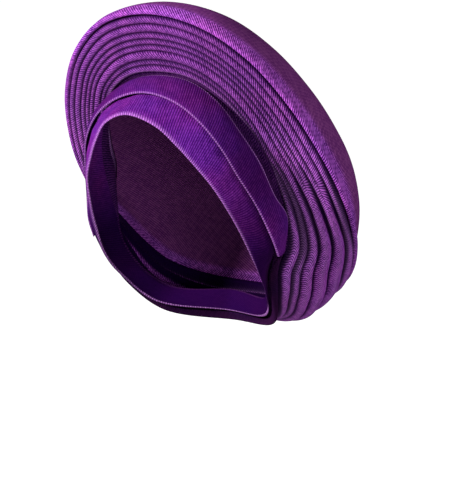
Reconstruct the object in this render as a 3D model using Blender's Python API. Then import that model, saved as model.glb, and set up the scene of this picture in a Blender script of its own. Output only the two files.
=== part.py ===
"""Tied head wrap: two smooth bands, a standing pleated fan, a smooth back and a nape fold.

Metres, +Z up. The face opening looks along -Y and +X is the wearer's left. The origin is the middle
of the head hollow, level with the temples. The wrap is the same on both sides of X = 0.
"""

import math

import bmesh
import bpy
import numpy as np

MM = 0.001

# Driving dimensions, in millimetres
CLOTH = 2.0             # wall of every wrap, a stiff cloth laid double
GAP = 0.3               # left between touching pieces
CROWN_STEPS = 11        # sections from the crown to each side
NAPE_STEPS = 13         # and on from there to the nape, closer together
SIDE_ANGLE = 96.0       # degrees from the crown where the spacing changes
TUCK_BOW = 2.0          # how far the cloth behind the first pleat bows back on its way in
EDGE_PLAY = 0.1         # added to the gap where the fan's inner edge meets the first wrap
PANEL_START = 0.8       # clear distance from the fan's last crease to the back panel's edge
PANEL_HEM = 2.0         # how far that edge is turned back into the crease
ROLL_WIDTH = 5.8        # outermost roll of the back panel, from its crease to the rim
ROLL_HEIGHT = 4.0       # how far that roll stands above its crease
RIM_ROUND = 0.5         # rounding where the roll goes over the rim
RIM_TURN = 6.0          # how far the rim turns back before the back panel leaves it
SHARP_EDGE = 60.0       # degrees between faces from which an edge is shaded sharp

# The first wrap. One row for each section, from the middle of the forehead (0 degrees) to the middle
# of the nape (180 degrees): the folded edge at the face, the line that the next wrap lies on, and the
# hidden rear edge. Each is out, back and up.
#   angle    edge              lap               rear
FRONT_BAND = (
    (0,   (0, -76, 48),     (0, -47, 62),     (0, -16, 70)),
    (20,  (26, -71, 39),    (29, -46, 56),    (30, -15, 65)),
    (40,  (43, -62, 21),    (52, -43, 40),    (54, -13, 50)),
    (60,  (55, -53, 4),     (68, -36, 18),    (72, -9, 28)),
    (80,  (66, -43, -14),   (78, -25, -7),    (82, 2, 1)),
    (100, (73, -30, -35),   (87, -9, -35),    (87, 17, -27)),
    (120, (79, -12, -64),   (95, 7, -70),     (88, 33, -60)),
    (135, (82, 8, -95),     (85, 18, -96),    (81, 34, -87)),
    (148, (77, 30, -118),   (77, 35, -118),   (69, 46, -112)),
    (162, (60, 60, -145),   (58, 65, -142),   (52, 72, -133)),
    (180, (0, 89, -152),    (0, 94, -145),    (0, 96, -134)),
)

# The crescent wrap: its folded lower edge, the middle of the band and its free upper edge.
SECOND_BAND = (
    (0,   (0, -49, 64.5),   (0, -36, 72),       (0, -21, 77)),
    (20,  (29.5, -48, 58),  (31, -34, 66.5),    (31, -20, 72)),
    (40,  (53.5, -45, 42),  (57, -32.5, 49.5),  (58, -19.5, 55.5)),
    (60,  (71, -37, 19),    (75.5, -26, 25),    (77, -14, 30)),
    (80,  (81, -25, -6),    (86.5, -13.5, -1),  (89, -2, 4)),
    (100, (91, -8, -35),    (95, 2, -30.5),     (96.5, 12, -26.5)),
    (115, (98.5, 4, -62),   (101.5, 17.5, -55), (99, 30.5, -48.5)),
    (128, (100, 14, -80),   (99, 24, -77),      (95, 33, -74)),
)

# The tucked fold at the nape: front edge, belly and rear edge.
NAPE_WRAP = (
    (126, (96, 18.5, -83),   (96.5, 25, -81),  (91.5, 33, -76)),
    (136, (87.5, 21.5, -98), (91, 27, -97.5),  (86.5, 32.5, -92.5)),
    (148, (79, 38, -124),    (81.5, 44, -125), (75, 47, -117)),
    (162, (58, 68, -150.5),  (61, 74, -155),   (57, 75, -144)),
    (180, (0, 92.5, -155),   (0, 103.5, -164), (0, 106.5, -155)),
)

# The fan: its innermost crease, its outermost crease, and how far the cloth between them swells out.
#   angle    inner crease      outer crease      swell
FAN = (
    (0,   (0, -25, 87),     (0, -40, 130),    0),
    (20,  (34, -22, 81),    (49, -35, 120),   0),
    (40,  (61, -13, 62),    (87, -20, 93),    0),
    (60,  (76, 2, 37),      (112, 0, 58),     0),
    (80,  (84, 17, 11),     (127, 23, 21),    0),
    (100, (92, 34, -15),    (135, 50, -18),   0),
    (115, (99, 43, -43),    (134, 75, -51),   2),
    (128, (100, 49, -74),   (126, 99, -78),   4),
    (140, (91, 50, -97),    (113, 119, -103), 6),
    (152, (80, 65, -122),   (94, 133, -122),  11),
    (165, (56, 92, -146),   (56, 144, -134),  15),
    (180, (0, 117, -154),   (0, 148, -138),   14),
)

# The fan's creases, from the innermost outwards: where each lies on the way from the inner to the
# outer crease, at the crown and lower down, and whether it runs out on the way down, so that the
# pleats beside it become one.
#    crown  lower  runs out
CREASES = (
    (0.000, 0.000, False),
    (0.105, 0.120, False),
    (0.295, 0.315, False),
    (0.420, 0.440, True),
    (0.540, 0.575, False),
    (0.670, 0.705, True),
    (0.845, 0.845, False),
    (1.000, 1.000, False),
)
RUN_OUT = (85, 112)     # angles from the crown between which those creases run out
# Height of the pleats at each angle from the crown, and at most as a share of a pleat's width
PLEAT_HEIGHT = ((0, 90, 115, 140, 180), (4.5, 5.0, 6.0, 6.0, 4.5))
PLEAT_FULLNESS = 0.7
# Where the first pleat starts, before the inner crease, at each angle round the wrap
FIRST_PLEAT = ((0, 40, 65, 85, 100, 115, 128, 150), (-0.15, -0.1, -0.04, -0.04, -0.11, -0.19, -0.2, -0.18))
PLEAT_STEPS = (0.22, 0.5, 0.78)     # points across one pleat, between its creases
ROLL_STEPS = (0.2, 0.5, 0.8)        # the same on the outermost roll

# The back panel leaves the rim along this handle and ends at the middle of the back.
#   angle   out  back   up
RIM_HANDLE = (
    (0,     0,   56,    13),
    (40,    4,   56,    9),
    (90,    8,   62,    3),
    (130,   4,   30,    8),
    (160,   0,   10,    16),
    (180,   0,   4,     20),
)
BACK_MIDDLE = (0, 118, 28)
BACK_FACING = (0, 1.0, 0.25)
MIDDLE_HANDLE = 0.55    # handle at the middle of the back, as a share of the way to the rim
PANEL_STEPS = 7         # rings from the rim to the middle of the back

# Points across each smooth wrap, as shares of its width, and sections along those that have ends
FRONT_SHARES = (0, 0.12, 0.3, 0.5, 0.7, 1)
SECOND_SHARES = (0, 0.2, 0.5, 0.8, 1)
NAPE_SHARES = (0, 0.25, 0.5, 0.75, 1)
SECOND_SECTIONS = 36
NAPE_SECTIONS = 15
REAR_SHARES = (0.9, 0.95, 1)        # last points of the first wrap, which the fan's foot follows

# Colour of each wrap, in linear light, and the sheen of the cloth
FRONT_COLOR = (0.15, 0.02, 0.34)
SECOND_COLOR = (0.17, 0.025, 0.36)
NAPE_COLOR = (0.1, 0.012, 0.2)
FAN_COLOR = (0.24, 0.035, 0.42)
BACK_COLOR = (0.16, 0.02, 0.24)
ROUGHNESS = 0.5


def unit(v):
    return v / np.linalg.norm(v, axis=-1, keepdims=True)


def along(rows, angles):
    """Smooth values at the angles, from rows of (angle, value...) that are given for one side only.

    The other side mirrors it: the first number of each point changes sign there.
    """
    half_at = np.array([row[0] for row in rows], float)
    half = np.array([np.concatenate([np.atleast_1d(v) for v in row[1:]]) for row in rows], float)
    flip = np.ones(half.shape[1])
    flip[:3 * (half.shape[1] // 3):3] = -1
    at, value = half_at, half
    if half_at[-1] == 180:
        at = np.concatenate([at, 360 - half_at[-2::-1]])
        value = np.concatenate([value, half[-2::-1] * flip])
    if half_at[0] == 0:
        at = np.concatenate([-half_at[:0:-1], at])
        value = np.concatenate([half[:0:-1] * flip, value])
    slope = np.gradient(value, at, axis=0)
    k = np.clip(np.searchsorted(at, angles, side="right") - 1, 0, len(at) - 2)
    step = at[k + 1] - at[k]
    t = ((angles - at[k]) / step)[:, None]
    step = step[:, None]
    return ((2 * t**3 - 3 * t**2 + 1) * value[k] + (t**3 - 2 * t**2 + t) * step * slope[k]
            + (3 * t**2 - 2 * t**3) * value[k + 1] + (t**3 - t**2) * step * slope[k + 1])


def through(first, middle, last, shares):
    """Points of the quadratic curves through three points, one row of points for each section."""
    u = np.asarray(shares)[None, :, None]
    return (first[:, None] * (2 * u - 1) * (u - 1) + middle[:, None] * 4 * u * (1 - u)
            + last[:, None] * u * (2 * u - 1))


def turned_in(sheet, closed):
    """Unit normals of a grid of points that face away from the head."""
    if closed:
        round_way = np.roll(sheet, -1, axis=0) - np.roll(sheet, 1, axis=0)
    else:
        round_way = np.gradient(sheet, axis=0)
    return unit(np.cross(round_way, np.gradient(sheet, axis=1)))


def pleat_round(share):
    """Height of a rounded pleat at a share of its width, as a share of its full height."""
    return (1 - (2 * share - 1) ** 4) ** 0.5


def new_object(name, bm, color):
    bmesh.ops.recalc_face_normals(bm, faces=bm.faces)
    mesh = bpy.data.meshes.new(name)
    bm.to_mesh(mesh)
    bm.free()
    mesh.shade_smooth()
    mesh.set_sharp_from_angle(angle=math.radians(SHARP_EDGE))
    material = bpy.data.materials.new(name)
    material.use_nodes = True
    shader = material.node_tree.nodes["Principled BSDF"]
    shader.inputs["Base Color"].default_value = (*color, 1)
    shader.inputs["Roughness"].default_value = ROUGHNESS
    shader.inputs["Metallic"].default_value = 0
    mesh.materials.append(material)
    obj = bpy.data.objects.new(name, mesh)
    bpy.context.scene.collection.objects.link(obj)
    return obj


def loft(name, loops, closed, color):
    """One solid from closed section loops, joined end to end or capped at both ends."""
    bm = bmesh.new()
    rings = [[bm.verts.new(p * MM) for p in loop] for loop in loops]
    count = len(rings[0])
    pairs = list(zip(rings, rings[1:]))
    if closed:
        pairs.append((rings[-1], rings[0]))
    for a, b in pairs:
        for j in range(count):
            k = (j + 1) % count
            bm.faces.new((a[j], a[k], b[k], b[j]))
    if not closed:
        bm.faces.new(rings[0])
        bm.faces.new(rings[-1])
    return new_object(name, bm, color)


def wall_loops(outer, normals, fold_first=True, fold_last=True):
    """Section loops of a wall whose outer face is the given grid, with rounded folds at its edges."""
    inner = outer - normals * CLOTH
    ways = unit(np.gradient(outer, axis=1))
    loops = []
    for face, back, way in zip(outer, inner, ways):
        loop = []
        if fold_first:
            loop.append((face[0] + back[0]) / 2 - way[0] * CLOTH / 2)
        loop.extend(face)
        if fold_last:
            loop.append((face[-1] + back[-1]) / 2 + way[-1] * CLOTH / 2)
        loop.extend(back[::-1])
        loops.append(loop)
    return loops


def round_angles():
    """The section angles once round the wrap, the same on both sides of the crown."""
    half = np.concatenate([np.linspace(0, SIDE_ANGLE, CROWN_STEPS + 1),
                           np.linspace(SIDE_ANGLE, 180, NAPE_STEPS + 1)[1:]])
    return np.concatenate([-half[-2:0:-1], half])


def from_crown(angles):
    """The same angles measured from the crown to either side, 0 to 180."""
    return np.abs((angles + 180) % 360 - 180)


def band(name, rows, shares, angles, closed, color):
    """A smooth wrap through the three lines of its table."""
    lines = along(rows, angles)
    sheet = through(lines[:, :3], lines[:, 3:6], lines[:, 6:9], shares)
    return loft(name, wall_loops(sheet, turned_in(sheet, closed)), closed, color)


def lower_down(angles):
    """0 where all creases are whole and 1 where some of them have run out."""
    return np.interp(from_crown(angles), RUN_OUT, (0, 1))


def fan_frame(angles):
    """Inner crease, outer crease, swell, way across and facing of the fan at each section."""
    lines = along(FAN, angles)
    inner, outer, swell = lines[:, :3], lines[:, 3:6], lines[:, 6:7]
    across = unit(outer - inner)
    middle = (inner + outer) / 2
    round_way = np.roll(middle, -1, axis=0) - np.roll(middle, 1, axis=0)
    facing = unit(np.cross(round_way, across))
    return inner, outer, swell, across, facing


def foot_of_fan(angles):
    """Where the fan's inner edge meets the rear edge of the first wrap, and that wrap's way there."""
    lines = along(FRONT_BAND, angles)
    rear = through(lines[:, :3], lines[:, 3:6], lines[:, 6:9], REAR_SHARES)
    onwards = unit(rear[:, -1] - rear[:, -2])
    return rear[:, -1] + onwards * (CLOTH / 2 + GAP + EDGE_PLAY), onwards


def pleated_fan():
    angles = round_angles()
    inner, outer, swell, across, facing = fan_frame(angles)

    def on_cloth(place, height):
        place = place[:, None]
        bow = swell * 4 * np.clip(place, 0, 1) * (1 - np.clip(place, 0, 1))
        return inner + (outer - inner) * place + facing * (bow + height[:, None])

    flat = np.zeros(len(angles))
    low = lower_down(angles)
    full = np.interp(from_crown(angles), *PLEAT_HEIGHT)
    start = np.interp(from_crown(angles), *FIRST_PLEAT)
    places = [start] + [crown + (lower - crown) * low for crown, lower, runs_out in CREASES]
    faded = [flat] + [low if runs_out else flat for crown, lower, runs_out in CREASES]
    foot, onwards = foot_of_fan(angles)
    first = on_cloth(start, flat)
    points = [foot, (foot + first) / 2 + onwards * TUCK_BOW]
    for k in range(len(places) - 1):
        fade = faded[k] + faded[k + 1]
        width = np.linalg.norm(on_cloth(places[k + 1], flat) - on_cloth(places[k], flat), axis=1)
        height = np.minimum(full, PLEAT_FULLNESS * width * (1 + fade))
        for step in (0, *PLEAT_STEPS):
            place = places[k] + (places[k + 1] - places[k]) * step
            joined = np.where(faded[k + 1] > 0, step / 2, (1 + step) / 2)
            rise = (1 - fade) * pleat_round(step) + fade * pleat_round(joined)
            points.append(on_cloth(place, height * rise))
    points.append(on_cloth(places[-1], flat))
    sheet = np.stack(points, axis=1)
    normals = np.repeat(facing[:, None], sheet.shape[1], axis=1)
    normals[:, :2] = turned_in(sheet[:, :3], True)[:, :2]
    normals[:, 2] = unit(facing + normals[:, 1])
    loops = wall_loops(sheet, normals, fold_first=False, fold_last=False)
    return loft("pleated_fan", loops, True, FAN_COLOR)


def back_panel():
    angles = round_angles()
    inner, outer, swell, across, facing = fan_frame(angles)
    start = outer + across * PANEL_START
    rows = [start - facing * PANEL_HEM, start]
    for share in ROLL_STEPS:
        rows.append(start + across * ROLL_WIDTH * share + facing * ROLL_HEIGHT * pleat_round(share))
    rows.append(start + across * ROLL_WIDTH - facing * RIM_ROUND)
    rim = start + across * (ROLL_WIDTH + RIM_ROUND) - facing * RIM_TURN
    rows.append(rim)
    handle = along(RIM_HANDLE, angles)
    middle = np.array(BACK_MIDDLE, float)
    facing_back = unit(np.array(BACK_FACING, float))
    spoke = rim - middle
    spoke = spoke - (spoke @ facing_back)[:, None] * facing_back
    near = middle + spoke * MIDDLE_HANDLE
    for k in range(1, PANEL_STEPS):
        t = k / PANEL_STEPS
        rows.append(rim * (1 - t) ** 3 + (rim + handle) * 3 * t * (1 - t) ** 2
                    + near * 3 * t * t * (1 - t) + middle * t ** 3)
    sheet = np.stack(rows, axis=1)
    normals = turned_in(sheet, True)
    back = sheet - normals * CLOTH
    bm = bmesh.new()
    face_rings = [[bm.verts.new(p * MM) for p in sheet[:, j]] for j in range(sheet.shape[1])]
    back_rings = [[bm.verts.new(p * MM) for p in back[:, j]] for j in range(sheet.shape[1])]
    count = len(angles)

    def bridge(a, b):
        for i in range(count):
            j = (i + 1) % count
            bm.faces.new((a[i], a[j], b[j], b[i]))

    for a, b in zip(face_rings, face_rings[1:]):
        bridge(a, b)
    for a, b in zip(back_rings[1:], back_rings):
        bridge(a, b)
    bridge(back_rings[0], face_rings[0])
    for ring, point in ((face_rings[-1], middle), (back_rings[-1], middle - facing_back * CLOTH)):
        pole = bm.verts.new(point * MM)
        for i in range(count):
            bm.faces.new((ring[i], ring[(i + 1) % count], pole))
    return new_object("back_panel", bm, BACK_COLOR)


def main():
    for obj in list(bpy.data.objects):
        bpy.data.objects.remove(obj)
    round_all = round_angles()
    second_end = SECOND_BAND[-1][0]
    second = np.linspace(-second_end, second_end, SECOND_SECTIONS)
    nape_start = NAPE_WRAP[0][0]
    nape = np.linspace(nape_start, 360 - nape_start, NAPE_SECTIONS)
    band("front_band", FRONT_BAND, FRONT_SHARES, round_all, True, FRONT_COLOR)
    band("second_band", SECOND_BAND, SECOND_SHARES, second, False, SECOND_COLOR)
    band("nape_wrap", NAPE_WRAP, NAPE_SHARES, nape, False, NAPE_COLOR)
    pleated_fan()
    back_panel()


main()
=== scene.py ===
"""Tied head wrap of stiff violet cloth, dressed for a studio picture.

The wrap is one cloth in five stretches: a smooth first band round the face, a crescent band over
it, a fan of eight rounded pleats, a smooth back and a fold tucked in at the nape. The lines of
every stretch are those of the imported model, in millimetres, with +X to the wearer's left and +Z up.
"""

import math

import bmesh
import bpy
import numpy as np
from bpy.props import FloatProperty, FloatVectorProperty, IntProperty, PointerProperty
from bpy.types import Operator, Panel, PropertyGroup
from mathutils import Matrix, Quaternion, Vector


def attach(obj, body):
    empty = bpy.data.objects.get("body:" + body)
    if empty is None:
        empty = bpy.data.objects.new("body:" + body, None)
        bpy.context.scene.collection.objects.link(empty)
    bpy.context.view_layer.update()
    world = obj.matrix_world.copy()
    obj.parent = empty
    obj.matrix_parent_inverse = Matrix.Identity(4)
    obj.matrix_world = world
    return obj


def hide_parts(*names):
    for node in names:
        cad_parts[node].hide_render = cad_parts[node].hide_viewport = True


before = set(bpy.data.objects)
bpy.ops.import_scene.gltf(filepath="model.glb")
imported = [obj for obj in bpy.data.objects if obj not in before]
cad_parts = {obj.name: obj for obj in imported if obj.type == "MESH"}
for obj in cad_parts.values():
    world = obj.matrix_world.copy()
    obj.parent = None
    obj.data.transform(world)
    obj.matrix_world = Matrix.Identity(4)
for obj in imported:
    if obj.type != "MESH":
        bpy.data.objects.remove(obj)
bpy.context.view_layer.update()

bl_info = {
    "name": "Tied head wrap",
    "version": (1, 0, 0),
    "blender": (4, 5, 0),
    "location": "View3D > Sidebar > Head wrap",
    "description": "Builds a tied and pleated head wrap and its studio",
    "category": "Object",
}

MM = 0.001

# The first wrap: the folded edge at the face, the line that the next wrap lies on and the rear
# edge. One row for each section, from the middle of the forehead, 0 degrees, to the nape, 180.
#   angle    edge              lap               rear
FRONT_BAND = (
    (0,   (0, -76, 48),     (0, -47, 62),     (0, -16, 70)),
    (20,  (26, -71, 39),    (29, -46, 56),    (30, -15, 65)),
    (40,  (43, -62, 21),    (52, -43, 40),    (54, -13, 50)),
    (60,  (55, -53, 4),     (68, -36, 18),    (72, -9, 28)),
    (80,  (66, -43, -14),   (78, -25, -7),    (82, 2, 1)),
    (100, (73, -30, -35),   (87, -9, -35),    (87, 17, -27)),
    (120, (79, -12, -64),   (95, 7, -70),     (88, 33, -60)),
    (135, (82, 8, -95),     (85, 18, -96),    (81, 34, -87)),
    (148, (77, 30, -118),   (77, 35, -118),   (69, 46, -112)),
    (162, (60, 60, -145),   (58, 65, -142),   (52, 72, -133)),
    (180, (0, 89, -152),    (0, 94, -145),    (0, 96, -134)),
)

# The crescent wrap: its folded lower edge, the middle of the band and its free upper edge.
SECOND_BAND = (
    (0,   (0, -49, 64.5),   (0, -36, 72),       (0, -21, 77)),
    (20,  (29.5, -48, 58),  (31, -34, 66.5),    (31, -20, 72)),
    (40,  (53.5, -45, 42),  (57, -32.5, 49.5),  (58, -19.5, 55.5)),
    (60,  (71, -37, 19),    (75.5, -26, 25),    (77, -14, 30)),
    (80,  (81, -25, -6),    (86.5, -13.5, -1),  (89, -2, 4)),
    (100, (91, -8, -35),    (95, 2, -30.5),     (96.5, 12, -26.5)),
    (115, (98.5, 4, -62),   (101.5, 17.5, -55), (99, 30.5, -48.5)),
    (128, (100, 14, -80),   (99, 24, -77),      (95, 33, -74)),
)

# The tucked fold at the nape: front edge, belly and rear edge.
NAPE_WRAP = (
    (126, (96, 18.5, -83),   (96.5, 25, -81),  (91.5, 33, -76)),
    (136, (87.5, 21.5, -98), (91, 27, -97.5),  (86.5, 32.5, -92.5)),
    (148, (79, 38, -124),    (81.5, 44, -125), (75, 47, -117)),
    (162, (58, 68, -150.5),  (61, 74, -155),   (57, 75, -144)),
    (180, (0, 92.5, -155),   (0, 103.5, -164), (0, 106.5, -155)),
)

# The fan: its innermost and its outermost crease, and how far the cloth between them swells out.
#   angle    inner crease      outer crease      swell
FAN = (
    (0,   (0, -25, 87),     (0, -40, 130),    0),
    (20,  (34, -22, 81),    (49, -35, 120),   0),
    (40,  (61, -13, 62),    (87, -20, 93),    0),
    (60,  (76, 2, 37),      (112, 0, 58),     0),
    (80,  (84, 17, 11),     (127, 23, 21),    0),
    (100, (92, 34, -15),    (135, 50, -18),   0),
    (115, (99, 43, -43),    (134, 75, -51),   2),
    (128, (100, 49, -74),   (126, 99, -78),   4),
    (140, (91, 50, -97),    (113, 119, -103), 6),
    (152, (80, 65, -122),   (94, 133, -122),  11),
    (165, (56, 92, -146),   (56, 144, -134),  15),
    (180, (0, 117, -154),   (0, 148, -138),   14),
)

# The fan's creases, from the innermost outwards: where each lies on the way from the inner to the
# outer crease, at the crown and lower down, and whether it runs out on the way down, so that the
# pleats beside it become one.
#    crown  lower  runs out
CREASES = (
    (0.000, 0.000, False),
    (0.105, 0.120, False),
    (0.295, 0.315, False),
    (0.420, 0.440, True),
    (0.540, 0.575, False),
    (0.670, 0.705, True),
    (0.845, 0.845, False),
    (1.000, 1.000, False),
)
# How far those creases have run out, at angles from the crown
RUN_OUT = ((85, 112), (0, 1))
# Height of the pleats at angles from the crown, and at most as a share of a pleat's width
PLEAT_HEIGHT = ((0, 90, 115, 140, 180), (4.5, 5.0, 6.0, 6.0, 4.5))
PLEAT_FULLNESS = 0.7
# Where the first pleat starts on the way from the inner to the outer crease, at such angles
FIRST_PLEAT = ((0, 40, 65, 85, 100, 115, 128, 150),
               (-0.15, -0.1, -0.04, -0.04, -0.11, -0.19, -0.2, -0.18))

# The back leaves the rim along this handle and ends at the middle of the back.
#   angle   out  back   up
RIM_HANDLE = (
    (0,     0,   56,    13),
    (40,    4,   56,    9),
    (90,    8,   62,    3),
    (130,   4,   30,    8),
    (160,   0,   10,    16),
    (180,   0,   4,     20),
)
BACK_MIDDLE = (0, 118, 28)
BACK_FACING = (0, 1.0, 0.25)    # the way the back faces there
MIDDLE_HANDLE = 0.55    # share of the way over which it stays flat round its middle

FOOT_GAP = 0.55         # from the first wrap's rear edge to the middle of the fan's foot
REAR_SHARE = 0.95       # where across that wrap its way to the rear edge is taken from
# How far the cloth behind the first pleat bows back on its way in, at angles from the crown
TUCK_BOW = ((0, 60, 125, 180), (3.1, 2.9, 4.5, 7.4))
TUCK_SHARES = (0, 0.25, 0.5)    # points across that cloth, up to where it makes a small fold
TUCK_FOLD = 0.1         # height of that fold, as a share of its width
UNEVEN_NOISE = {"Scale": 22, "Detail": 1}   # how the pleats wander up and down
PANEL_START = 1.5       # clear distance from the fan's last crease to the back's edge
PANEL_HEM = 2.0         # how far that edge is turned back into the crease
ROLL_WIDTH = 5.1        # outermost roll of the back, from its crease to the rim
ROLL_HEIGHT = 4.0       # how far that roll stands above its crease
ROLL_FULLNESS = 4       # how square its section is
RIM_ROUND = 0.5         # rounding where the roll goes over the rim
RIM_TURN = 6.0          # how far the rim turns back before the back leaves it
CLOTH_TURN = 0.02       # share of a ring of the back in which its weave turns to the rim's
TURN_FADE = 6.0         # beyond the rim, how far the fan's colour reaches into the back's painted shade

# Soft waves of the bands: their height, and for each wave its count round the wrap and its slant
BAND_WAVE = 1.6
WAVES = ((9, 2.5), (14, -4.0), (23, 5.5))

# How finely each stretch is woven into faces
ROUND_SECTIONS = 240
SECOND_SECTIONS = 180
NAPE_SECTIONS = 72
BAND_STEPS = 22
BAND_CROWDING = 1.25    # how the points across a band crowd towards its first edge
PLEAT_POINTS = 11
ROLL_POINTS = 10
PANEL_RINGS = 44
FOLD_POINTS = 3
WELD_DISTANCE = 0.000005    # metres; points of the fan's wall closer than this become one

# The weave of each stretch: pitch of its ribs as a share of the cloth's, slant, contrast, relief
# and how far the dye runs to the cool and the warm tone
BAND_WEAVE = (0.8, 0.45, 1.1, 0.7, 0.8)
FAN_WEAVE = (1.0, 1.0, 1.5, 0.8, 0.25)
BACK_WEAVE = (1.0, 1.0, 1.3, 0.6, 0.3)
CHEVRON = 0.35          # where on the way across a lower pleat its ribs turn
CHEVRON_REACH = 1.4     # how steep they are there

COOL_TONE = (0.66, 0.76, 0.98)  # what the dye runs to in places
WARM_TONE = (1.15, 0.9, 0.95)   # and in others
THREAD_SHARE = 0.45     # mean share of the light thread, which the contrast leaves as it is
BEAD_RELIEF = 0.4       # share of a rib's height by which it dips between two stitches
RELIEF_HEIGHT = 0.0006  # height of the weave's relief, in metres
# Each pair is a gain and a shift, and before them stand a noise's scale and detail
FLECK = (0.5, -0.2)             # lightness of single stitches
CLOUD = (28, 3, 0.4, -0.2)      # lightness of soft patches
DYE = (24, 2, 3.3, -1.15)       # where the dye is cool
HIGHLIGHT_THREAD = (0.8, 0.2)        # how strong a painted highlight is, from the dark to the light thread
ROUGHNESS = (-0.2, 0.6)         # roughness over the same
SHEEN = (0.05, 0.4, (0.6, 0.12, 0.75))  # weight, roughness and tint

# Reach and strength of the painted highlight along the first and the last edge of each band, and
# how far from its first edge the fold there is fullest
FIRST_WRAP_HIGHLIGHTS = ((1.2, 0.6), (0.5, 0.0))
FIRST_WRAP_FULL = 3.0
CRESCENT_HIGHLIGHTS = ((0.35, 0.42), (0.7, 0.8))
CRESCENT_FULL = 2.5
NO_HIGHLIGHTS = ((1.0, 0.0), (1.0, 0.0))

CREASE_SHADE = (0.8, 2.6)   # distances from a crease where its painted shade begins to fade and ends
LOW_CREASE = 2.1        # how much further both are from a lower crease
SHADE_SHIFT = 0.05      # how far the painted shade of a lower crease leans to the pleat before it
TUCK_SHADE = 0.24       # how light the painted shade leaves the cloth behind the first pleat
CREST = (0.4, 2.4)      # painted highlight on the crest of a pleat: place across it and reach
# Painted highlight along the first pleat, and along the fold of the cloth behind it: place across
# it, reach and strength, and what is left of both at angles from the crown
FIRST_PLEAT_HIGHLIGHT = (0.35, 0.4, 0.5)
TUCK_HIGHLIGHT = (0.55, 0.4, 0.15)
LINE_LEFT = ((95, 115), (1, 0))

# At angles from the crown: how closely the fan's weave lies, how full its pleats stand, the
# painted highlight on their crests, and the painted shade of the fan, the first wrap and the crescent
WEAVE_PULL = ((0, 90, 125), (1.1, 1.1, 1.15))
SOFT_PLEATS = ((0, 60, 90, 112), (0.65, 0.7, 0.8, 1.0))
CREST_HIGHLIGHT = ((60, 110), (0.05, 0.3))
FAN_SHADE = ((0, 40, 70, 105), (0.54, 0.54, 0.62, 1.15))
BAND_SHADE = ((50, 90, 125), (0.92, 0.64, 0.16))
CRESCENT_SHADE = ((0, 60, 90, 125), (0.62, 0.4, 0.34, 0.6))

# The studio, in metres: the lights' places and colours, and the floor
LIGHT_SIZE = 0.6
LIGHTS = {
    "key": ((-0.8, -1.75, 0.8), (1, 0.98, 0.96)),
    "fill": ((1.7, 0.6, 0.8), (0.97, 0.97, 1)),
    "side": ((1.35, -1.25, -0.05), (0.97, 0.97, 1)),
}
WHITE = (1, 1, 1)
FLOOR_REACH = 20.0
FLOOR_GREY = (0.35, 0.35, 0.35)
FLOOR_ROUGHNESS = 0.9

# The view of the picture
PICTURE = (466, 488)
VIEW_AZIMUTH = 33.0
VIEW_ELEVATION = 7.2
VIEW_DISTANCE = 1.7
VIEW_END = 100.0        # how far the camera sees
FOCAL_PIXELS = 1904.0
ORIGIN_PIXEL = (175, 160)
SENSOR_MM = 36.0


def unit(v):
    return v / np.linalg.norm(v, axis=-1, keepdims=True)


def along(rows, angles):
    """Smooth values at the angles, from rows of (angle, value...) given for one side only.

    The other side mirrors it: the first number of each point changes sign there.
    """
    half_at = np.array([row[0] for row in rows], float)
    half = np.array([np.concatenate([np.atleast_1d(v) for v in row[1:]]) for row in rows], float)
    flip = np.ones(half.shape[1])
    flip[:3 * (half.shape[1] // 3):3] = -1
    at, value = half_at, half
    if half_at[-1] == 180:
        at = np.concatenate([at, 360 - half_at[-2::-1]])
        value = np.concatenate([value, half[-2::-1] * flip])
    if half_at[0] == 0:
        at = np.concatenate([-half_at[:0:-1], at])
        value = np.concatenate([half[:0:-1] * flip, value])
    slope = np.gradient(value, at, axis=0)
    k = np.clip(np.searchsorted(at, angles, side="right") - 1, 0, len(at) - 2)
    step = at[k + 1] - at[k]
    t = ((angles - at[k]) / step)[:, None]
    step = step[:, None]
    return ((2 * t**3 - 3 * t**2 + 1) * value[k] + (t**3 - 2 * t**2 + t) * step * slope[k]
            + (3 * t**2 - 2 * t**3) * value[k + 1] + (t**3 - t**2) * step * slope[k + 1])


def through(first, middle, last, shares):
    """Points of the quadratic curves through three points, one row of points for each section."""
    u = np.asarray(shares)[None, :, None]
    return (first[:, None] * (2 * u - 1) * (u - 1) + middle[:, None] * 4 * u * (1 - u)
            + last[:, None] * u * (2 * u - 1))


def round_way(points, closed=True):
    """The way round the head at each point of lines of points."""
    if closed:
        return np.roll(points, -1, axis=0) - np.roll(points, 1, axis=0)
    return np.gradient(points, axis=0)


def facing_out(sheet, closed):
    """Unit normals of a grid of points, away from the head."""
    return unit(np.cross(round_way(sheet, closed), np.gradient(sheet, axis=1)))


def round_angles():
    return np.linspace(-180, 180, ROUND_SECTIONS, endpoint=False)


def from_crown(angles):
    """The same angles measured from the crown to either side, 0 to 180."""
    return np.abs((angles + 180) % 360 - 180)


def by_angle(angles, table):
    """Values at the angles, from a table of angles from the crown and the values there."""
    return np.interp(from_crown(angles), *table)


def closed_up(values):
    """The same values, with the first ones again at the end."""
    return np.concatenate([values, values[:1]])


def run_length(points, closed, pull=1.0):
    """Length along a line of points, zero at its middle point, with the closing length last.

    pull makes the steps longer or shorter than they are.
    """
    if closed:
        points = closed_up(points)
    steps = np.linalg.norm(np.diff(points, axis=0), axis=1) * pull
    length = np.concatenate([[0], np.cumsum(steps)])
    return length - length[len(length) // 2]


def width_across(sheet):
    """Length across a grid of points, from its first line, as the mean over its sections."""
    steps = np.linalg.norm(np.diff(sheet, axis=1), axis=2).mean(axis=0)
    return np.concatenate([[0], np.cumsum(steps)])


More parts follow.
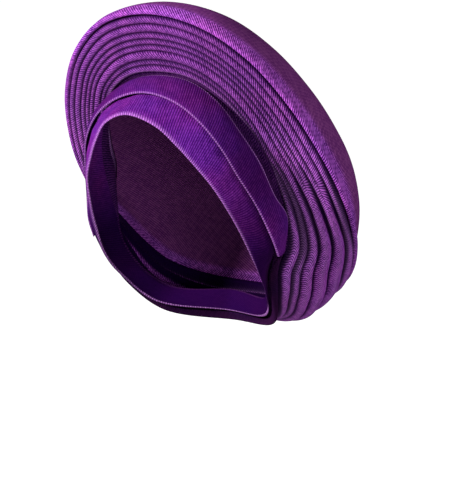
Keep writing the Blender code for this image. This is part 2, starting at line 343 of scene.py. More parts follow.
def grid_mesh(name, loops, closed_round, closed_across, place_u, place_v, marks):
    """A mesh from a grid of points in millimetres.

    place_u and place_v are the places on the cloth, one more than the sections or lines where the
    grid closes. marks are named values, one for each point.
    """
    sections, lines = loops.shape[:2]
    last_section = sections if closed_round else sections - 1
    last_line = lines if closed_across else lines - 1
    i, j = np.meshgrid(np.arange(last_section), np.arange(last_line), indexing="ij")
    i, j = i.ravel(), j.ravel()
    corner_i = np.stack([i, i, i + 1, i + 1], axis=1)
    corner_j = np.stack([j, j + 1, j + 1, j], axis=1)
    faces = (corner_i % sections) * lines + corner_j % lines
    mesh = bpy.data.meshes.new(name)
    mesh.from_pydata((loops.reshape(-1, 3) * MM).tolist(), [], faces.tolist())
    layer = mesh.uv_layers.new(name="cloth")
    if place_u.ndim == 1:
        u, v = place_u[corner_i], place_v[corner_j]
    else:
        u, v = place_u[corner_i, corner_j], place_v[corner_i, corner_j]
    layer.data.foreach_set("uv", (np.stack([u, v], axis=-1).reshape(-1) * MM).astype(np.float32))
    for mark, values in marks.items():
        kind = "FLOAT_VECTOR" if values.ndim == 3 else "FLOAT"
        field = "vector" if values.ndim == 3 else "value"
        attribute = mesh.attributes.new(mark, kind, "POINT")
        attribute.data.foreach_set(field, values.reshape(-1).astype(np.float32))
    mesh.update()
    return mesh


def placed(name, data):
    """A new object of the scene."""
    obj = bpy.data.objects.new(name, data)
    bpy.context.scene.collection.objects.link(obj)
    return obj


def shown(name, mesh, material=None):
    """A smooth-shaded piece with its finish."""
    obj = placed(name, mesh)
    if material is not None:
        mesh.materials.append(material)
    mesh.shade_smooth()
    return obj


def cloth_wall(name, sheet, normals, closed, thickness, highlights, shade, material):
    """A sheet of cloth with a rounded fold along both long edges.

    highlights are the reach in millimetres and the strength of the painted highlight along the first
    edge and along the last, and shade is how light the painted shade leaves the cloth at each
    section.
    """
    inner = sheet - normals * thickness
    first_way = unit(sheet[:, 1] - sheet[:, 0])
    last_way = unit(sheet[:, -1] - sheet[:, -2])
    turns = np.linspace(0, math.pi, FOLD_POINTS + 2)[1:-1]

    def fold(face, back, way):
        middle, arm = (face + back) / 2, (face - back) / 2
        way = way * thickness / 2
        return np.stack([middle + arm * math.cos(a) + way * math.sin(a) for a in turns], axis=1)

    far = fold(sheet[:, -1], inner[:, -1], last_way)
    near = fold(inner[:, 0], sheet[:, 0], -first_way)
    loops = np.concatenate([sheet, far, inner[:, ::-1], near], axis=1)
    width = width_across(sheet)
    total = width[-1]
    edge = np.full(FOLD_POINTS, total)
    start = np.zeros(FOLD_POINTS)
    place_v = np.concatenate([width, edge, width[::-1], start, [0]])
    (near_reach, near_strength), (far_reach, far_strength) = highlights
    painted_highlight = (near_strength * np.exp(-(width / near_reach) ** 2)
            + far_strength * np.exp(-((total - width) / far_reach) ** 2))
    painted_highlight = np.concatenate([painted_highlight, painted_highlight[-1] + 0 * edge, painted_highlight[::-1], painted_highlight[0] + start])
    marks = {
        "fold": np.repeat(painted_highlight[None], len(loops), axis=0),
        "rise": np.repeat(shade[:, None], loops.shape[1], axis=1),
    }
    place_u = run_length(sheet[:, sheet.shape[1] // 2], closed)
    if not closed:
        place_u = np.append(place_u, place_u[-1])
    mesh = grid_mesh(name, loops, closed, True, place_u, place_v, marks)
    if not closed:
        close_ends(mesh, *loops.shape[:2])
    return shown(name, mesh, material)


def close_ends(mesh, sections, count):
    """Close the two ends of an open wall with a strip of faces between its outer and inner side."""
    bm = bmesh.new()
    bm.from_mesh(mesh)
    bm.verts.ensure_lookup_table()
    first_end = bm.verts[:count]
    last_end = bm.verts[(sections - 1) * count:sections * count][::-1]
    for ring in (first_end, last_end):
        for k in range(count // 2 - 1):
            bm.faces.new((ring[k], ring[-1 - k], ring[-2 - k], ring[k + 1]))
    bmesh.ops.recalc_face_normals(bm, faces=bm.faces)
    bm.to_mesh(mesh)
    bm.free()


def feed(node, inputs):
    """Set inputs of a node, by name or number, to plain values or colours, or link them."""
    for key, value in inputs.items():
        socket = node.inputs[key]
        if isinstance(value, bpy.types.NodeSocket):
            node.id_data.links.new(value, socket)
        elif isinstance(value, tuple):
            socket.default_value = (*value, 1)
        else:
            socket.default_value = value


def added(tree, kind, inputs=None, **settings):
    """A new node of a tree, with its settings and then its inputs."""
    node = tree.nodes.new(kind)
    for title, value in settings.items():
        setattr(node, title, value)
    feed(node, inputs or {})
    return node


def add_sockets(tree, way, kind, *titles):
    """Give a node group named inputs or outputs of one kind."""
    for title in titles:
        tree.interface.new_socket(title, in_out=way, socket_type="NodeSocket" + kind)


def weave_group():
    """Twill weave: slanted ribs broken into stitches, with a random shade for each stitch."""
    name = "Twill weave"
    if name in bpy.data.node_groups:
        return bpy.data.node_groups[name]
    group = bpy.data.node_groups.new(name, "ShaderNodeTree")
    add_sockets(group, "INPUT", "Vector", "Place")
    add_sockets(group, "INPUT", "Float", "Pitch", "Slant", "Stitch")
    add_sockets(group, "OUTPUT", "Float", "Thread", "Fleck")
    calc = Sums(group)

    def ridge(turns):
        """0 at each whole turn and 1 half way between two."""
        wave = calc("COSINE", calc("MULTIPLY", turns, 2 * math.pi))
        return calc("MULTIPLY_ADD", wave, -0.5, 0.5)

    given = added(group, "NodeGroupInput").outputs
    u, v, _ = added(group, "ShaderNodeSeparateXYZ", {0: given["Place"]}).outputs
    slanted = calc("ADD", u, calc("MULTIPLY", v, given["Slant"]))
    count = calc("DIVIDE", slanted, given["Pitch"])
    row = calc("FLOOR", count)
    # Each row of stitches starts half a stitch further on than the last
    run = calc("ADD", calc("DIVIDE", v, given["Stitch"]), calc("MULTIPLY", row, 0.5))
    dip = calc("MULTIPLY_ADD", ridge(run), BEAD_RELIEF, 1 - BEAD_RELIEF)
    cell = added(group, "ShaderNodeCombineXYZ", {0: row, 1: calc("FLOOR", run)}).outputs[0]
    random = added(group, "ShaderNodeTexWhiteNoise", {"Vector": cell}, noise_dimensions="3D")
    thread = calc("MULTIPLY", ridge(count), dip)
    added(group, "NodeGroupOutput", {"Thread": thread, "Fleck": random.outputs["Value"]})
    return group


class Sums:
    """Math nodes of one tree, called with the operation and up to three values or sockets."""

    def __init__(self, tree):
        self.tree = tree

    def __call__(self, operation, *values, clamp=False):
        inputs = dict(enumerate(values))
        settings = {"operation": operation, "use_clamp": clamp}
        return added(self.tree, "ShaderNodeMath", inputs, **settings).outputs[0]


def mixed(tree, factor, a, b, blend="MIX"):
    """Colour mix of two colours or colour sockets."""
    inputs = {"Factor": factor, 6: a, 7: b}
    return added(tree, "ShaderNodeMix", inputs, data_type="RGBA", blend_type=blend).outputs[2]


def cloth_material(name, cloth, stretch, weaving, behind=None):
    """Woven cloth: light weft over dark warp, with painted shade in creases and shaded places and a
    painted highlight along folds and crests.

    stretch names the two threads that it is woven of, and behind those it has where it turns to
    the back. weaving is the pitch of the ribs as a share of the cloth's, their slant, the contrast
    between the threads, the relief and how far the dye runs.
    """
    pitch, slant, contrast, bump, running = weaving
    material = bpy.data.materials.new(name)
    material.use_nodes = True
    tree = material.node_tree
    calc = Sums(tree)
    where = added(tree, "ShaderNodeTexCoord").outputs["Object"]
    sizes = {
        "Place": added(tree, "ShaderNodeUVMap", uv_map="cloth").outputs[0],
        "Pitch": cloth.pitch * pitch,
        "Slant": slant,
        "Stitch": cloth.stitch * pitch,
    }
    weave = added(tree, "ShaderNodeGroup", sizes, node_tree=weave_group())
    thread = weave.outputs["Thread"]

    def mark(title):
        return added(tree, "ShaderNodeAttribute", attribute_name=title).outputs["Fac"]

    def patches(scale, detail, gain, shift, clamp=False):
        inputs = {"Vector": where, "Scale": scale, "Detail": detail}
        noise = added(tree, "ShaderNodeTexNoise", inputs).outputs["Fac"]
        return calc("MULTIPLY_ADD", noise, gain, shift, clamp=clamp)

    def stretch_colour(stretch):
        dark, light = (tuple(getattr(cloth, stretch + kind)) for kind in ("_dark", "_light"))
        return mixed(tree, level, dark, light)

    level = calc("MULTIPLY_ADD", thread, contrast, (1 - contrast) * THREAD_SHARE)
    level = calc("ADD", level, calc("MULTIPLY_ADD", weave.outputs["Fleck"], *FLECK))
    level = calc("ADD", level, patches(*CLOUD), clamp=True)
    tone = mixed(tree, patches(*DYE, clamp=True), WARM_TONE, COOL_TONE)
    color = mixed(tree, running, stretch_colour(stretch), tone, "MULTIPLY")
    if behind is not None:
        color = mixed(tree, mark("behind"), color, stretch_colour(behind))
    # Painted shade: the colour goes to the crease colour where the rise mark is low
    inputs = {"Value": mark("rise"), "To Min": 1, "To Max": 0}
    deep = added(tree, "ShaderNodeMapRange", inputs, interpolation_type="SMOOTHSTEP")
    color = mixed(tree, deep.outputs[0], color, tuple(cloth.crease))
    # Painted highlight: the colour goes to the fold edge colour where the fold mark is high, most on
    # the light thread
    painted_highlight = calc("MULTIPLY", mark("fold"), calc("MULTIPLY_ADD", thread, *HIGHLIGHT_THREAD), clamp=True)
    color = mixed(tree, painted_highlight, color, tuple(cloth.edge))
    inputs = {"Strength": bump, "Distance": RELIEF_HEIGHT, "Height": thread}
    relief = added(tree, "ShaderNodeBump", inputs)
    sheen_weight, sheen_roughness, sheen_tint = SHEEN
    feed(tree.nodes["Principled BSDF"], {
        "Base Color": color,
        "Roughness": calc("MULTIPLY_ADD", thread, *ROUGHNESS),
        "Normal": relief.outputs["Normal"],
        "Metallic": 0,
        "Specular IOR Level": 0,
        "Sheen Weight": sheen_weight,
        "Sheen Roughness": sheen_roughness,
        "Sheen Tint": sheen_tint,
    })
    return material


def pleat_tree():
    """Raises each pleat of a smooth sheet, gives the cloth its wall and its finish.

    The sheet carries, at each point, its share of the way across a pleat and across the pair that
    the pleat fades into, how far it has faded, the pleat's height and the way the cloth faces.
    """
    tree = bpy.data.node_groups.new("Pleated cloth", "GeometryNodeTree")
    add_sockets(tree, "INPUT", "Geometry", "Sheet")
    add_sockets(tree, "INPUT", "Float", "Height", "Roundness", "Crease Width", "Crease Depth",
                "Unevenness", "Thickness")
    add_sockets(tree, "INPUT", "Int", "Seed")
    add_sockets(tree, "INPUT", "Material", "Finish")
    add_sockets(tree, "OUTPUT", "Geometry", "Cloth")
    calc = Sums(tree)
    given = added(tree, "NodeGroupInput").outputs

    def mark(title, kind="FLOAT"):
        node = added(tree, "GeometryNodeInputNamedAttribute", {"Name": title}, data_type=kind)
        return node.outputs["Attribute"]

    ridge_end = calc("SUBTRACT", 1.0, given["Crease Width"])

    def profile(share):
        """How high a pleat stands there, and how deep its crease is."""
        off_middle = calc("ABSOLUTE", calc("MULTIPLY_ADD", share, 2.0, -1.0))
        on_ridge = calc("DIVIDE", off_middle, ridge_end, clamp=True)
        fall = calc("POWER", on_ridge, given["Roundness"])
        beyond = calc("SUBTRACT", off_middle, ridge_end)
        return (calc("SQRT", calc("SUBTRACT", 1.0, fall, clamp=True)),
                calc("DIVIDE", beyond, given["Crease Width"], clamp=True))

    def faded(own, pair):
        return calc("MULTIPLY_ADD", calc("SUBTRACT", pair, own), mark("fade"), own)

    own, pair = profile(mark("share")), profile(mark("joined"))
    ridge, past = faded(own[0], pair[0]), faded(own[1], pair[1])
    inputs = {**UNEVEN_NOISE, "W": given["Seed"]}
    noise = added(tree, "ShaderNodeTexNoise", inputs, noise_dimensions="4D").outputs["Fac"]
    wobble = calc("MULTIPLY", calc("MULTIPLY_ADD", noise, 2.0, -1.0), given["Unevenness"])
    lift = calc("MULTIPLY", calc("MULTIPLY", ridge, mark("height")), given["Height"])
    lift = calc("ADD", lift, calc("MULTIPLY", wobble, ridge))
    lift = calc("SUBTRACT", lift, calc("MULTIPLY", past, given["Crease Depth"]))
    lift = calc("MULTIPLY", lift, mark("pleated"))
    inputs = {0: mark("facing", "FLOAT_VECTOR"), "Scale": lift}
    offset = added(tree, "ShaderNodeVectorMath", inputs, operation="SCALE").outputs["Vector"]
    inputs = {"Geometry": given["Sheet"], "Offset": offset}
    raised = added(tree, "GeometryNodeSetPosition", inputs).outputs["Geometry"]
    inward = added(tree, "GeometryNodeFlipFaces", {"Mesh": raised}).outputs["Mesh"]
    inputs = {"Individual": False, "Mesh": inward, "Offset Scale": given["Thickness"]}
    wall = added(tree, "GeometryNodeExtrudeMesh", inputs, mode="FACES").outputs["Mesh"]
    both = added(tree, "GeometryNodeJoinGeometry", {"Geometry": wall})
    feed(both, {"Geometry": raised})
    shape = both.outputs["Geometry"]
    for kind, inputs in (("GeometryNodeMergeByDistance", {"Distance": WELD_DISTANCE}),
                         ("GeometryNodeSetShadeSmooth", {}),
                         ("GeometryNodeRealizeInstances", {}),
                         ("GeometryNodeSetMaterial", {"Material": given["Finish"]})):
        shape = added(tree, kind, {"Geometry": shape, **inputs}).outputs["Geometry"]
    added(tree, "NodeGroupOutput", {"Cloth": shape})
    return tree


def grown(sheet, tree, sizes, name):
    """The plain mesh that a tree makes of a sheet, as an object of its own."""
    modifier = sheet.modifiers.new("Cloth", "NODES")
    modifier.node_group = tree
    for item in tree.interface.items_tree:
        if item.in_out == "INPUT" and item.name in sizes:
            modifier[item.identifier] = sizes[item.name]
    depsgraph = bpy.context.evaluated_depsgraph_get()
    mesh = bpy.data.meshes.new_from_object(sheet.evaluated_get(depsgraph))
    sheet.modifiers.remove(modifier)
    bpy.data.objects.remove(sheet)
    mesh.name = name
    return placed(name, mesh)


def declare(piece, node):
    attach(piece, "root")
    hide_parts(node)


def band_sheet(rows, angles, closed, puff=0.0, full=1.0, wave=0.0):
    """Grid of a smooth wrap, with its first edge puffed up where the cloth is folded.

    full is the distance from that edge at which the puff is highest. wave is how far the cloth
    between its edges swells out, or in below zero, in soft waves.
    """
    lines = along(rows, angles)
    shares = np.linspace(0, 1, BAND_STEPS) ** BAND_CROWDING
    sheet = through(lines[:, :3], lines[:, 3:6], lines[:, 6:9], shares)
    normals = facing_out(sheet, closed)
    way_in = width_across(sheet) / full
    swell = way_in * np.exp(1 - way_in)
    turn = np.radians(angles)[:, None]
    waves = sum(np.sin(count * turn + slant * shares + count) for count, slant in WAVES)
    waves = wave * (0.5 + 0.5 * waves / len(WAVES)) * np.sin(math.pi * shares)
    return sheet + normals * (puff * swell + waves)[:, :, None], normals


def fan_lines(angles):
    """Inner crease, outer crease, swell, way across and facing of the fan at each section."""
    lines = along(FAN, angles)
    inner, outer, swell = lines[:, :3], lines[:, 3:6], lines[:, 6:7]
    across = unit(outer - inner)
    return inner, outer, swell, across, unit(np.cross(round_way((inner + outer) / 2), across))


def foot_of_fan(angles):
    """Where the fan's inner edge meets the rear edge of the first wrap, and that wrap's way."""
    lines = along(FRONT_BAND, angles)
    rear = through(lines[:, :3], lines[:, 3:6], lines[:, 6:9], (REAR_SHARE, 1))
    onwards = unit(rear[:, 1] - rear[:, 0])
    return rear[:, 1] + onwards * FOOT_GAP, onwards


class WrapCloth(PropertyGroup):
    thickness: FloatProperty(
        name="Thickness", description="Wall of the cloth, laid double", default=1.4 * MM,
        unit="LENGTH", subtype="DISTANCE")
    fold_puff: FloatProperty(
        name="Fold puff", description="How far a folded edge stands proud", default=0.7 * MM,
        unit="LENGTH", subtype="DISTANCE")
    pitch: FloatProperty(
        name="Rib pitch", description="Distance between the ribs of the weave", default=2.9 * MM,
        unit="LENGTH", subtype="DISTANCE")
    stitch: FloatProperty(
        name="Stitch", description="Length of one stitch of the weave", default=3.4 * MM,
        unit="LENGTH", subtype="DISTANCE")
    fan_light: FloatVectorProperty(
        name="Fan weft", description="Light thread of the fan", default=(0.47, 0.11, 0.6),
        subtype="COLOR", min=0, max=1)
    fan_dark: FloatVectorProperty(
        name="Fan warp", description="Dark thread of the fan", default=(0.03, 0.001, 0.07),
        subtype="COLOR", min=0, max=1)
    # The bands are the fan's cloth; their darker threads are painted shade
    band_light: FloatVectorProperty(
        name="Band weft", description="Light thread of the bands", default=(0.19, 0.026, 0.28),
        subtype="COLOR", min=0, max=1)
    band_dark: FloatVectorProperty(
        name="Band warp", description="Dark thread of the bands", default=(0.06, 0.004, 0.12),
        subtype="COLOR", min=0, max=1)
    # The back is the fan's cloth too; its darker, more plum threads are painted shade
    back_light: FloatVectorProperty(
        name="Back weft", description="Light thread of the back", default=(0.2, 0.05, 0.19),
        subtype="COLOR", min=0, max=1)
    back_dark: FloatVectorProperty(
        name="Back warp", description="Dark thread of the back", default=(0.07, 0.009, 0.09),
        subtype="COLOR", min=0, max=1)
    # The nape fold's near-black threads are painted shade
    nape_light: FloatVectorProperty(
        name="Nape weft", description="Light thread of the nape fold",
        default=(0.022, 0.005, 0.028), subtype="COLOR", min=0, max=1)
    nape_dark: FloatVectorProperty(
        name="Nape warp", description="Dark thread of the nape fold",
        default=(0.008, 0.0015, 0.014), subtype="COLOR", min=0, max=1)
    # Colour that the painted shade of creases, gaps and shaded places goes to
    crease: FloatVectorProperty(
        name="Crease", description="Cloth deep in a crease", default=(0.008, 0.0005, 0.024),
        subtype="COLOR", min=0, max=1)
    # Colour of the painted highlight along folds and the crests of pleats
    edge: FloatVectorProperty(
        name="Fold edge", description="Worn crest of a fold", default=(0.6, 0.25, 0.72),
        subtype="COLOR", min=0, max=1)


class WrapPleats(PropertyGroup):
    height: FloatProperty(
        name="Height", default=1.0, min=0.2, max=1.5,
        description="Height of the pleats, as a share of the tied one")
    roundness: FloatProperty(
        name="Roundness", description="How full each pleat is", default=2.0, min=1, max=8)
    crease_width: FloatProperty(
        name="Crease width", default=0.3, min=0.02, max=0.4,
        description="Share of a pleat taken by its crease")
    crease_depth: FloatProperty(
        name="Crease depth", default=2.2 * MM, unit="LENGTH", subtype="DISTANCE",
        description="How far a crease reaches in below the pleats")
    unevenness: FloatProperty(
        name="Unevenness", description="How far a pleat wanders up and down", default=0.5 * MM,
        unit="LENGTH", subtype="DISTANCE")
    seed: IntProperty(name="Seed", description="Which unevenness the pleats have", default=3)


class WrapStage(PropertyGroup):
    floor_height: FloatProperty(
        name="Floor height", default=-0.42, unit="LENGTH", subtype="DISTANCE",
        description="Height of the floor under the wrap")
    key_power: FloatProperty(
        name="Key light", default=92.0, unit="POWER",
        description="Power of the soft light at the upper left")
    fill_power: FloatProperty(
        name="Fill light", default=14.0, unit="POWER",
        description="Power of the soft light behind at the right")
    side_power: FloatProperty(
        name="Side light", default=11.0, unit="POWER",
        description="Power of the low soft light at the right")
    air: FloatProperty(
        name="Room light", description="Strength of the light from all round", default=0.12, min=0,
        max=3)


class WRAP_OT_bands(Operator):
    """Make the two smooth bands round the face"""

    bl_idname = "wrap.bands"
    bl_label = "Bands round the face"

    def execute(self, context):
        cloth = context.scene.wrap_cloth
        thickness = cloth.thickness / MM
        puff = cloth.fold_puff / MM
        finish = cloth_material("band_weave", cloth, "band", BAND_WEAVE)
        angles = round_angles()
        sheet, normals = band_sheet(FRONT_BAND, angles, True, puff, FIRST_WRAP_FULL, -BAND_WAVE)
        first = cloth_wall("first_wrap_cloth", sheet, normals, True, thickness, FIRST_WRAP_HIGHLIGHTS,
                           by_angle(angles, BAND_SHADE), finish)
        declare(first, "front_band")
        end = SECOND_BAND[-1][0]
        angles = np.linspace(-end, end, SECOND_SECTIONS)
        sheet, normals = band_sheet(SECOND_BAND, angles, False, puff, CRESCENT_FULL, BAND_WAVE)
        second = cloth_wall("crescent_cloth", sheet, normals, False, thickness, CRESCENT_HIGHLIGHTS,
                            by_angle(angles, CRESCENT_SHADE), finish)
        declare(second, "second_band")
        return {"FINISHED"}


class WRAP_OT_nape(Operator):
    """Make the fold tucked in at the nape"""

    bl_idname = "wrap.nape"
    bl_label = "Nape fold"

    def execute(self, context):
        cloth = context.scene.wrap_cloth
        finish = cloth_material("nape_weave", cloth, "nape", BAND_WEAVE)
        start = NAPE_WRAP[0][0]
        angles = np.linspace(start, 360 - start, NAPE_SECTIONS)
        sheet, normals = band_sheet(NAPE_WRAP, angles, False)
        piece = cloth_wall("nape_fold_cloth", sheet, normals, False, cloth.thickness / MM,
                           NO_HIGHLIGHTS, np.ones(NAPE_SECTIONS), finish)
        declare(piece, "nape_wrap")
        return {"FINISHED"}


class WRAP_OT_fan(Operator):
    """Make the standing fan of pleats"""

    bl_idname = "wrap.fan"
    bl_label = "Pleated fan"

    def execute(self, context):
        cloth = context.scene.wrap_cloth
        pleats = context.scene.wrap_pleats
        angles = round_angles()
        inner, outer, swell, _, facing = fan_lines(angles)
        flat = np.zeros(len(angles))
        low = by_angle(angles, RUN_OUT)
        lined = by_angle(angles, LINE_LEFT)
        pull = by_angle(angles, WEAVE_PULL)
        rest = np.linspace(0, math.pi, PLEAT_POINTS + 2)
        half_crease = pleats.crease_width / 2
        steps = [0.0, *(half_crease + (1 - 2 * half_crease) * (0.5 - 0.5 * np.cos(rest)))]
        laid = {}

        def lay(**line):
            """Add a line of points to the sheet, with its place on the cloth and its marks."""
            for title, values in line.items():
                laid.setdefault(title, []).append(values)

        def on_cloth(place):
            place = place[:, None]
            inside = np.clip(place, 0, 1)
            return inner + (outer - inner) * place + facing * swell * 4 * inside * (1 - inside)

        def painted_highlight(share, width, place, reach):
            """How strong a painted highlight is beside a line that lies along it."""
            return np.exp(-((share - place) * width / reach) ** 2)

        def highlight_line(share, width, line):
            place, reach, strength = line
            return strength * lined * painted_highlight(share, width, place, reach)

        # The cloth behind the first pleat, from the first wrap up to that pleat's crease
        start = by_angle(angles, FIRST_PLEAT)
        first = on_cloth(start)
        foot, onwards = foot_of_fan(angles)
        bow = (foot + first) / 2 + onwards * by_angle(angles, TUCK_BOW)[:, None]
        plain = len(TUCK_SHARES) - 1
        folded_share = 1 - TUCK_SHARES[-1]
        shares = TUCK_SHARES[:-1] + tuple(TUCK_SHARES[-1] + folded_share * step for step in steps)
        tuck = through(foot, bow, first, shares)
        long = np.linalg.norm(first - foot, axis=1)
        folded = long * folded_share
        tuck_facing = unit(np.cross(round_way(first), first - foot))
        tuck_u = run_length(first, True, pull)
        # The cloth behind the first pleat has painted shade, and a painted highlight along its small
        # fold
        for k, share in enumerate(shares):
            step = steps[max(k - plain, 0)]
            on = float(k >= plain)
            lay(line=tuck[:, k], u=tuck_u, v=long * share, share=flat + step, joined=flat + step,
                fade=flat, height=on * folded * TUCK_FOLD * lined, pleated=on * lined,
                facing=tuck_facing, rise=flat + TUCK_SHADE,
                fold=on * highlight_line(step, folded, TUCK_HIGHLIGHT))

        # The pleats, each from its inner to its outer crease
        full = by_angle(angles, PLEAT_HEIGHT)
        soft = by_angle(angles, SOFT_PLEATS)
        shade = by_angle(angles, FAN_SHADE)
        crest_highlight = by_angle(angles, CREST_HIGHLIGHT)
        shift = SHADE_SHIFT * low
        apex = 1 + (CHEVRON - 1) * low
        steep = 1 + (CHEVRON_REACH - 1) * low
        fades_at, ends_at = CREASE_SHADE

        # How far a point is out of the painted shade of a crease: 0 at it, 1 clear of it
        def clear_of_crease(share, width):
            off_crease = np.minimum(share, 1 - share) * width - LOW_CREASE * low
            return np.clip((off_crease - fades_at) / (ends_at - fades_at), 0, 1)

        places = [start] + [crown + (lower - crown) * low for crown, lower, _ in CREASES]
        faded = [flat] + [low if runs_out else flat for _, _, runs_out in CREASES]
        last = len(places) - 2
        for k in range(last + 1):
            near, far = on_cloth(places[k]), on_cloth(places[k + 1])
            width = np.linalg.norm(far - near, axis=1)
            fade = faded[k] + faded[k + 1]
            tall = np.minimum(full, PLEAT_FULLNESS * width * (1 + fade))
            over = math.pi * np.sqrt(((width / 2) ** 2 + tall ** 2) / 2)
            ridge = on_cloth((places[k] + places[k + 1]) / 2) + facing * tall[:, None]
            length = run_length(ridge, True, pull)
            for step in steps + [1.0] if k == last else steps:
                joined = np.where(faded[k + 1] > 0, step / 2, (1 + step) / 2)
                own = clear_of_crease(step + shift, width)
                pair = clear_of_crease(joined + shift / 2, 2 * width)
                crest = ((1 - fade) * painted_highlight(step, width, *CREST)
                         + fade * painted_highlight(joined, 2 * width, *CREST))
                line = highlight_line(step, width, FIRST_PLEAT_HIGHLIGHT) if k == 0 else flat
                pointed = np.abs(step - apex) * (1 - fade) + 2 * np.abs(joined - apex) * fade
                # Each point's rise mark carries the painted shade of its crease and its angle, and
                # its fold mark the painted highlight of its crest
                lay(line=on_cloth(places[k] + (places[k + 1] - places[k]) * step), u=length,
                    v=-pointed * steep * over, share=flat + step, joined=joined, fade=fade,
                    height=tall * soft, pleated=flat + 1, facing=facing,
                    rise=((1 - fade) * own + fade * pair) * shade, fold=crest_highlight * crest + line)

        marks = {title: np.stack(values, axis=1) for title, values in laid.items()}
        marks["height"] *= MM
        loops, place_u, place_v = (marks.pop(title) for title in ("line", "u", "v"))
        mesh = grid_mesh("fan_sheet", loops, True, False, place_u, closed_up(place_v), marks)
        sizes = {
            "Height": pleats.height,
            "Roundness": pleats.roundness,
            "Crease Width": pleats.crease_width,
            "Crease Depth": pleats.crease_depth,
            "Unevenness": pleats.unevenness,
            "Thickness": cloth.thickness,
            "Seed": pleats.seed,
            "Finish": cloth_material("fan_weave", cloth, "fan", FAN_WEAVE),
        }
        piece = grown(shown("fan_sheet", mesh), pleat_tree(), sizes, "fan_cloth")
        declare(piece, "pleated_fan")
        return {"FINISHED"}


class WRAP_OT_back(Operator):
    """Make the smooth back with its roll round the rim"""

    bl_idname = "wrap.back"
    bl_label = "Back"

    def execute(self, context):
        cloth = context.scene.wrap_cloth
        angles = round_angles()
        _, outer, _, across, facing = fan_lines(angles)
        start = outer + across * PANEL_START
        lines = [start - facing * PANEL_HEM, start]
        for share in 0.5 - 0.5 * np.cos(np.linspace(0, math.pi, ROLL_POINTS + 2)[1:-1]):
            rise = ROLL_HEIGHT * (1 - abs(2 * share - 1) ** ROLL_FULLNESS) ** 0.5
            lines.append(start + across * ROLL_WIDTH * share + facing * rise)
        lines.append(start + across * ROLL_WIDTH - facing * RIM_ROUND)
        rim = start + across * (ROLL_WIDTH + RIM_ROUND) - facing * RIM_TURN
        lines.append((lines[-1] + rim) / 2 + across * RIM_ROUND / 2)
        lines.append(rim)
        roll = len(lines)
        handle = along(RIM_HANDLE, angles)
        middle = np.array(BACK_MIDDLE, float)
        facing_back = unit(np.array(BACK_FACING, float))
        spoke = rim - middle
        spoke = spoke - (spoke @ facing_back)[:, None] * facing_back
        near = middle + spoke * MIDDLE_HANDLE
        for k in range(PANEL_RINGS):
            t = max(k, CLOTH_TURN) / PANEL_RINGS
            lines.append(rim * (1 - t) ** 3 + (rim + handle) * 3 * t * (1 - t) ** 2
                         + near * 3 * t * t * (1 - t) + middle * t ** 3)
        sheet = np.stack(lines, axis=1)
        thickness = cloth.thickness / MM
        inside = sheet - facing_out(sheet, True) * thickness

        # Its place on the cloth: laid flat round the middle, and like the fan's up to the rim
        ends = np.broadcast_to(middle, (len(angles), 1, 3))
        to_end = np.diff(np.concatenate([sheet, ends], axis=1), axis=1)
        to_middle = np.cumsum(np.linalg.norm(to_end, axis=2)[:, ::-1], axis=1)[:, ::-1]
        turn = np.radians(angles)[:, None]
        u, v = closed_up(to_middle * np.sin(turn)), closed_up(to_middle * np.cos(turn))
        pull = by_angle(angles, WEAVE_PULL)
        u[:, :roll] = run_length(sheet[:, roll // 2], True, pull)[:, None]
        v[:, :roll] = closed_up(to_middle[:, :1] - to_middle[:, :roll])
        # Painted shade: the hem turned back into the crease takes the crease colour
        rise = np.ones(sheet.shape[:2])
        rise[:, :2] = 0
        # Beyond the rim the back fades to its darker threads, which are painted shade
        behind = np.clip((to_middle[:, roll - 1:roll] - to_middle) / TURN_FADE, 0, 1)
        behind = behind * behind * (3 - 2 * behind)

        def both_sides(inner, outer):
            """Lines of the inner side from the middle out, then those of the outer side."""
            return np.concatenate([inner[:, ::-1], outer], axis=1)

        loops = both_sides(inside, sheet)
        marks = {
            "rise": both_sides(rise, rise),
            "fold": np.zeros(loops.shape[:2]),
            "behind": both_sides(behind, behind),
        }
        place_u, place_v = both_sides(u, u), both_sides(v, v)
        mesh = grid_mesh("back_cloth", loops, True, False, place_u, place_v, marks)
        close_middle(mesh, *loops.shape[:2], middle - facing_back * thickness, middle)
        finish = cloth_material("back_weave", cloth, "fan", BACK_WEAVE, behind="back")
        piece = shown("back_cloth", mesh, finish)
        declare(piece, "back_panel")
        return {"FINISHED"}


def close_middle(mesh, sections, lines, inner, outer):
    """Close the wall of the back at its middle, on its inner and its outer side."""
    bm = bmesh.new()
    bm.from_mesh(mesh)
    bm.verts.ensure_lookup_table()
    layer = bm.loops.layers.uv["cloth"]
    rise = bm.verts.layers.float["rise"]
    for line, point in ((0, inner), (lines - 1, outer)):
        ring = [bm.verts[i * lines + line] for i in range(sections)]
        places = {vert: vert.link_loops[0][layer].uv.copy() for vert in ring}
        pole = bm.verts.new(Vector(point * MM))
        pole[rise] = 1.0
        bm.verts.ensure_lookup_table()
        for a, b in zip(ring, ring[1:] + ring[:1]):
            made = bm.faces.new((a, b, pole))
            made.smooth = True
            for loop in made.loops:
                loop[layer].uv = places.get(loop.vert, Vector((0, 0)))
    bmesh.ops.recalc_face_normals(bm, faces=bm.faces)
    bm.to_mesh(mesh)
    bm.free()


class WRAP_OT_stage(Operator):
    """Make the floor, the lights and the camera"""

    bl_idname = "wrap.stage"
    bl_label = "Studio"

    def execute(self, context):
        stage = context.scene.wrap_stage
        make_floor(stage.floor_height)
        for name, (place, color) in LIGHTS.items():
            make_light(name + "_light", getattr(stage, name + "_power"), place, color)
        make_world(stage.air)
        make_camera()
        return {"FINISHED"}


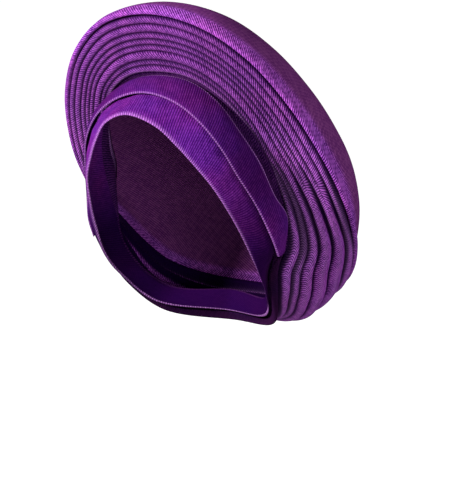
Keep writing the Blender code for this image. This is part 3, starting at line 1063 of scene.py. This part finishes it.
def make_floor(height):
    mesh = bpy.data.meshes.new("floor")
    ways = ((-1, -1), (1, -1), (1, 1), (-1, 1))
    corners = [(x * FLOOR_REACH, y * FLOOR_REACH, height) for x, y in ways]
    mesh.from_pydata(corners, [], [(0, 1, 2, 3)])
    material = bpy.data.materials.new("pale_floor")
    material.use_nodes = True
    tree = material.node_tree
    feed(tree.nodes["Principled BSDF"], {
        "Base Color": FLOOR_GREY,
        "Roughness": FLOOR_ROUGHNESS,
        "Emission Color": WHITE,
        "Emission Strength": added(tree, "ShaderNodeLightPath").outputs["Is Camera Ray"],
    })
    shown("floor", mesh, material)


def make_light(name, power, place, color):
    light = bpy.data.lights.new(name, "AREA")
    light.energy = power
    light.shape = "DISK"
    light.size = LIGHT_SIZE
    light.color = color
    lamp = placed(name, light)
    lamp.location = place
    lamp.rotation_euler = (-Vector(place)).to_track_quat("-Z", "Y").to_euler()


def make_world(strength):
    world = bpy.data.worlds.new("studio_air")
    world.use_nodes = True
    tree = world.node_tree
    seen = added(tree, "ShaderNodeLightPath").outputs["Is Camera Ray"]
    level = Sums(tree)("MULTIPLY_ADD", seen, 1.0 - strength, strength)
    feed(tree.nodes["Background"], {"Color": WHITE, "Strength": level})
    bpy.context.scene.world = world


def make_camera():
    """The camera stands at the picture's angle and turns until the origin falls on its pixel."""
    scene = bpy.context.scene
    azimuth, elevation = math.radians(VIEW_AZIMUTH), math.radians(VIEW_ELEVATION)
    towards = Vector((math.sin(azimuth) * math.cos(elevation),
                      -math.cos(azimuth) * math.cos(elevation), math.sin(elevation)))
    right = math.atan2(PICTURE[0] / 2 - ORIGIN_PIXEL[0], FOCAL_PIXELS)
    down = math.atan2(PICTURE[1] / 2 - ORIGIN_PIXEL[1], FOCAL_PIXELS)
    data = bpy.data.cameras.new("picture_camera")
    data.sensor_fit = "AUTO"
    data.sensor_width = SENSOR_MM
    data.lens = FOCAL_PIXELS * SENSOR_MM / max(PICTURE)
    data.clip_end = VIEW_END
    camera = placed("picture_camera", data)
    camera.location = towards * VIEW_DISTANCE
    look = (-towards).to_track_quat("-Z", "Y")
    look = look @ Quaternion((0, 1, 0), -right) @ Quaternion((1, 0, 0), -down)
    camera.rotation_euler = look.to_euler()
    scene.camera = camera
    scene.view_settings.view_transform = "Standard"


class WRAP_PT_panel(Panel):
    """Buttons that make each stretch of the wrap"""

    bl_idname = "WRAP_PT_panel"
    bl_label = "Head wrap"
    bl_space_type = "VIEW_3D"
    bl_region_type = "UI"
    bl_category = "Head wrap"

    def draw(self, context):
        for kind in STEPS:
            self.layout.operator(kind.bl_idname)


STEPS = (WRAP_OT_bands, WRAP_OT_nape, WRAP_OT_fan, WRAP_OT_back, WRAP_OT_stage)
GROUPS = {"wrap_cloth": WrapCloth, "wrap_pleats": WrapPleats, "wrap_stage": WrapStage}


def register():
    for kind in (*GROUPS.values(), *STEPS, WRAP_PT_panel):
        bpy.utils.register_class(kind)
    for name, kind in GROUPS.items():
        setattr(bpy.types.Scene, name, PointerProperty(type=kind))


def unregister():
    for name in GROUPS:
        delattr(bpy.types.Scene, name)
    for kind in reversed((*GROUPS.values(), *STEPS, WRAP_PT_panel)):
        bpy.utils.unregister_class(kind)


def main():
    register()
    for step in STEPS:
        group, name = step.bl_idname.split(".")
        getattr(getattr(bpy.ops, group), name)()
    bpy.context.view_layer.update()


if __name__ == "__main__":
    main()
